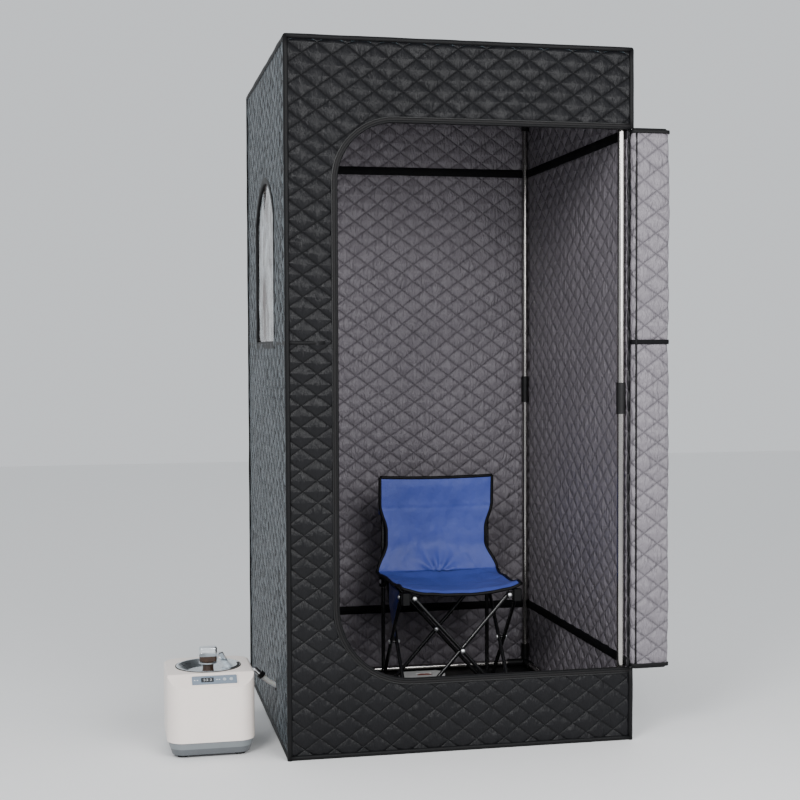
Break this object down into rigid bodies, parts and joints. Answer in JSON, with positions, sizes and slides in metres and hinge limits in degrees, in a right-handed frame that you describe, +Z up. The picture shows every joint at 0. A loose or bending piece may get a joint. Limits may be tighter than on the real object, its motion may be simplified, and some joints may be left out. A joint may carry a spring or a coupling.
{
  "type": "portable steam sauna",
  "caption": "Quilted cube tent on a tube frame with an open doorway, a folding chair and herb box inside, and a steam generator beside it on a hose",
  "frame": {"origin": "middle of the tent's square footprint, on the floor", "axes": "+X to the tent's right seen from the doorway, +Y to its back, +Z up"},
  "size_m": [1.2984, 0.9095, 1.8],
  "materials": {
    "shell_quilt": "satin",
    "mat_cloth": "matte",
    "strap_webbing": "matte",
    "window_film": "gloss",
    "black_moulding": "satin",
    "stainless_tube": "polished",
    "chair_tube": "satin",
    "chair_fittings": "satin",
    "chair_cloth": "satin",
    "cream_shell": "satin",
    "grey_base": "satin",
    "rubber_feet": "matte",
    "stainless_dish": "polished",
    "heater_metal": "satin",
    "knob_moulding": "satin",
    "panel_film": "gloss",
    "button_moulding": "satin",
    "chrome_outlet": "polished",
    "silicone_hose": "satin",
    "herb_box_white": "satin"
  },
  "bodies": {
    "root": {"floor_mat": "mat_cloth", "front_panel": "shell_quilt", "back_panel": "shell_quilt", "left_panel": "shell_quilt", "right_panel": "shell_quilt", "roof_panel": "shell_quilt", "window_film": "window_film", "hose_port": "black_moulding", "lower_posts": "stainless_tube", "upper_posts": "stainless_tube", "post_sleeves": "black_moulding", "top_rails": "stainless_tube", "bottom_rails": "stainless_tube", "corner_connectors": "black_moulding", "chair_foot_rr": "chair_fittings", "chair_post_rr": "chair_tube", "backrest": "chair_cloth", "generator_base": "grey_base", "generator_feet": "rubber_feet", "generator_housing": "cream_shell", "water_tank": "stainless_dish", "heater_plate": "heater_metal", "control_panel": "panel_film", "outlet_elbow": "chrome_outlet", "hose_nut": "black_moulding", "steam_hose": "silicone_hose", "herb_box": "herb_box_white"},
    "door_strip_1": {"door_strip_1": "shell_quilt", "door_tie": "strap_webbing"},
    "door_strip_2": {"door_strip_2": "shell_quilt"},
    "door_strip_3": {"door_strip_3": "shell_quilt"},
    "door_strip_4": {"door_strip_4": "shell_quilt"},
    "door_strip_5": {"door_strip_5": "shell_quilt"},
    "door_strip_6": {"door_strip_6": "shell_quilt"},
    "door_strip_7": {"door_strip_7": "shell_quilt"},
    "door_strip_8": {"door_strip_8": "shell_quilt"},
    "rear_bar_a": {"rear_bar_a": "chair_tube"},
    "rear_bar_b": {"rear_bar_b": "chair_tube"},
    "right_bar_a": {"right_bar_a": "chair_tube"},
    "right_bar_b": {"right_bar_b": "chair_tube"},
    "left_bar_a": {"left_bar_a": "chair_tube"},
    "left_bar_b": {"left_bar_b": "chair_tube"},
    "front_bar_a": {"front_bar_a": "chair_tube"},
    "front_bar_b": {"front_bar_b": "chair_tube"},
    "chair_foot_rl": {"chair_foot_rl": "chair_fittings", "chair_post_rl": "chair_tube"},
    "chair_hub_rl": {"chair_hub_rl": "chair_fittings"},
    "chair_hub_rr": {"chair_hub_rr": "chair_fittings"},
    "chair_foot_fr": {"chair_foot_fr": "chair_fittings"},
    "chair_hub_fr": {"chair_hub_fr": "chair_fittings"},
    "chair_foot_fl": {"chair_foot_fl": "chair_fittings"},
    "chair_hub_fl": {"chair_hub_fl": "chair_fittings"},
    "seat_front": {"seat_front": "chair_cloth"},
    "seat_rear": {"seat_rear": "chair_cloth"},
    "tank_lid": {"tank_lid": "stainless_dish", "clamp_arm": "stainless_dish"},
    "clamp_knob": {"clamp_knob": "knob_moulding"},
    "button_power": {"button_power": "button_moulding"},
    "button_timer": {"button_timer": "button_moulding"},
    "herb_lid": {"herb_lid": "herb_box_white"}
  },
  "joints": [
    {"name": "door_fold", "type": "hinge", "parent": "root", "child": "door_strip_1", "pos_m": [0.453, -0.4505, 0.8935], "axis": [0, 0, -1], "range_deg": [0, 180]},
    {"name": "door_fold_2", "type": "hinge", "parent": "door_strip_1", "child": "door_strip_2", "pos_m": [0.54988, -0.4505, 0.8935], "axis": [0, 0, -1], "range_deg": [0, 180]},
    {"name": "door_fold_3", "type": "hinge", "parent": "door_strip_2", "child": "door_strip_3", "pos_m": [0.453, -0.4445, 0.8935], "axis": [0, 0, 1], "range_deg": [0, 180]},
    {"name": "door_fold_4", "type": "hinge", "parent": "door_strip_3", "child": "door_strip_4", "pos_m": [0.54988, -0.4385, 0.8935], "axis": [0, 0, -1], "range_deg": [0, 180]},
    {"name": "door_fold_5", "type": "hinge", "parent": "door_strip_4", "child": "door_strip_5", "pos_m": [0.453, -0.4325, 0.8935], "axis": [0, 0, 1], "range_deg": [0, 180]},
    {"name": "door_fold_6", "type": "hinge", "parent": "door_strip_5", "child": "door_strip_6", "pos_m": [0.54988, -0.4265, 0.8935], "axis": [0, 0, -1], "range_deg": [0, 180]},
    {"name": "door_fold_7", "type": "hinge", "parent": "door_strip_6", "child": "door_strip_7", "pos_m": [0.453, -0.4205, 0.8935], "axis": [0, 0, 1], "range_deg": [0, 180]},
    {"name": "door_fold_8", "type": "hinge", "parent": "door_strip_7", "child": "door_strip_8", "pos_m": [0.54988, -0.4145, 0.8935], "axis": [0, 0, -1], "range_deg": [0, 180]},
    {"name": "chair_fold", "type": "hinge", "parent": "root", "child": "rear_bar_a", "pos_m": [0.227, 0.245, 0.022], "axis": [0, 1, 0], "range_deg": [0, 37], "deforming": ["seat_front", "seat_rear", "backrest"]},
    {"name": "rear_cross", "type": "hinge", "parent": "rear_bar_a", "child": "rear_bar_b", "pos_m": [0.0885, 0.245, 0.176], "axis": [0, -1, 0], "range_deg": [0, 74]},
    {"name": "foot_rl_pivot", "type": "hinge", "parent": "rear_bar_b", "child": "chair_foot_rl", "pos_m": [-0.05, 0.245, 0.022], "axis": [0, 1, 0], "range_deg": [0, 37]},
    {"name": "hub_rl_pivot", "type": "hinge", "parent": "rear_bar_a", "child": "chair_hub_rl", "pos_m": [-0.05, 0.245, 0.33], "axis": [0, -1, 0], "range_deg": [0, 37]},
    {"name": "hub_rr_pivot", "type": "hinge", "parent": "rear_bar_b", "child": "chair_hub_rr", "pos_m": [0.227, 0.245, 0.33], "axis": [0, 1, 0], "range_deg": [0, 37]},
    {"name": "right_bar_pivot", "type": "hinge", "parent": "root", "child": "right_bar_a", "pos_m": [0.251, 0.221, 0.022], "axis": [-1, 0, 0], "range_deg": [0, 37]},
    {"name": "right_cross", "type": "hinge", "parent": "right_bar_a", "child": "right_bar_b", "pos_m": [0.251, 0.0825, 0.176], "axis": [1, 0, 0], "range_deg": [0, 74]},
    {"name": "foot_fr_pivot", "type": "hinge", "parent": "right_bar_b", "child": "chair_foot_fr", "pos_m": [0.251, -0.056, 0.022], "axis": [-1, 0, 0], "range_deg": [0, 37]},
    {"name": "hub_fr_pivot", "type": "hinge", "parent": "right_bar_a", "child": "chair_hub_fr", "pos_m": [0.251, -0.056, 0.33], "axis": [1, 0, 0], "range_deg": [0, 37]},
    {"name": "left_bar_pivot", "type": "hinge", "parent": "chair_foot_rl", "child": "left_bar_a", "pos_m": [-0.074, 0.221, 0.022], "axis": [-1, 0, 0], "range_deg": [0, 37]},
    {"name": "left_cross", "type": "hinge", "parent": "left_bar_a", "child": "left_bar_b", "pos_m": [-0.074, 0.0825, 0.176], "axis": [1, 0, 0], "range_deg": [0, 74]},
    {"name": "foot_fl_pivot", "type": "hinge", "parent": "left_bar_b", "child": "chair_foot_fl", "pos_m": [-0.074, -0.056, 0.022], "axis": [-1, 0, 0], "range_deg": [0, 37]},
    {"name": "hub_fl_pivot", "type": "hinge", "parent": "left_bar_a", "child": "chair_hub_fl", "pos_m": [-0.074, -0.056, 0.33], "axis": [1, 0, 0], "range_deg": [0, 37]},
    {"name": "front_bar_a_pivot", "type": "hinge", "parent": "chair_foot_fr", "child": "front_bar_a", "pos_m": [0.227, -0.08, 0.022], "axis": [0, 1, 0], "range_deg": [0, 37]},
    {"name": "front_bar_b_pivot", "type": "hinge", "parent": "chair_foot_fl", "child": "front_bar_b", "pos_m": [-0.05, -0.08, 0.022], "axis": [0, -1, 0], "range_deg": [0, 37]},
    {"name": "seat_front_fold", "type": "hinge", "parent": "chair_hub_fr", "child": "seat_front", "pos_m": [0.0885, -0.08, 0.3485], "axis": [-1, 0, 0], "range_deg": [0, 74]},
    {"name": "seat_rear_fold", "type": "hinge", "parent": "chair_hub_rr", "child": "seat_rear", "pos_m": [0.0885, 0.245, 0.3485], "axis": [1, 0, 0], "range_deg": [0, 74]},
    {"name": "lid_lift", "type": "slide", "parent": "root", "child": "tank_lid", "axis": [0, 0, 1], "range_m": [0, 0.12]},
    {"name": "knob_turn", "type": "hinge", "parent": "tank_lid", "child": "clamp_knob", "pos_m": [-0.638, -0.258, 0.2], "axis": [0, 0, 1], "range_deg": [0, 540]},
    {"name": "button_power_press", "type": "slide", "parent": "root", "child": "button_power", "axis": [0, 0.6402, -0.7682], "range_m": [0, 0.001], "stiffness_N_per_m": 400},
    {"name": "button_timer_press", "type": "slide", "parent": "root", "child": "button_timer", "axis": [0, 0.6402, -0.7682], "range_m": [0, 0.001], "stiffness_N_per_m": 400},
    {"name": "herb_lid_lift", "type": "slide", "parent": "root", "child": "herb_lid", "axis": [0, 0, 1], "range_m": [0, 0.08]}
  ],
  "couplings": [
    {"joint": "door_fold_2", "follows": "door_fold", "ratio": 1},
    {"joint": "door_fold_3", "follows": "door_fold", "ratio": 1},
    {"joint": "door_fold_4", "follows": "door_fold", "ratio": 1},
    {"joint": "door_fold_5", "follows": "door_fold", "ratio": 1},
    {"joint": "door_fold_6", "follows": "door_fold", "ratio": 1},
    {"joint": "door_fold_7", "follows": "door_fold", "ratio": 1},
    {"joint": "door_fold_8", "follows": "door_fold", "ratio": 1},
    {"joint": "rear_cross", "follows": "chair_fold", "ratio": 2},
    {"joint": "foot_rl_pivot", "follows": "chair_fold", "ratio": 1},
    {"joint": "hub_rl_pivot", "follows": "chair_fold", "ratio": 1},
    {"joint": "hub_rr_pivot", "follows": "chair_fold", "ratio": 1},
    {"joint": "right_bar_pivot", "follows": "chair_fold", "ratio": 1},
    {"joint": "right_cross", "follows": "chair_fold", "ratio": 2},
    {"joint": "foot_fr_pivot", "follows": "chair_fold", "ratio": 1},
    {"joint": "hub_fr_pivot", "follows": "chair_fold", "ratio": 1},
    {"joint": "left_bar_pivot", "follows": "chair_fold", "ratio": 1},
    {"joint": "left_cross", "follows": "chair_fold", "ratio": 2},
    {"joint": "foot_fl_pivot", "follows": "chair_fold", "ratio": 1},
    {"joint": "hub_fl_pivot", "follows": "chair_fold", "ratio": 1},
    {"joint": "front_bar_a_pivot", "follows": "chair_fold", "ratio": 1},
    {"joint": "front_bar_b_pivot", "follows": "chair_fold", "ratio": 1},
    {"joint": "seat_front_fold", "follows": "chair_fold", "ratio": 2},
    {"joint": "seat_rear_fold", "follows": "chair_fold", "ratio": 2}
  ]
}
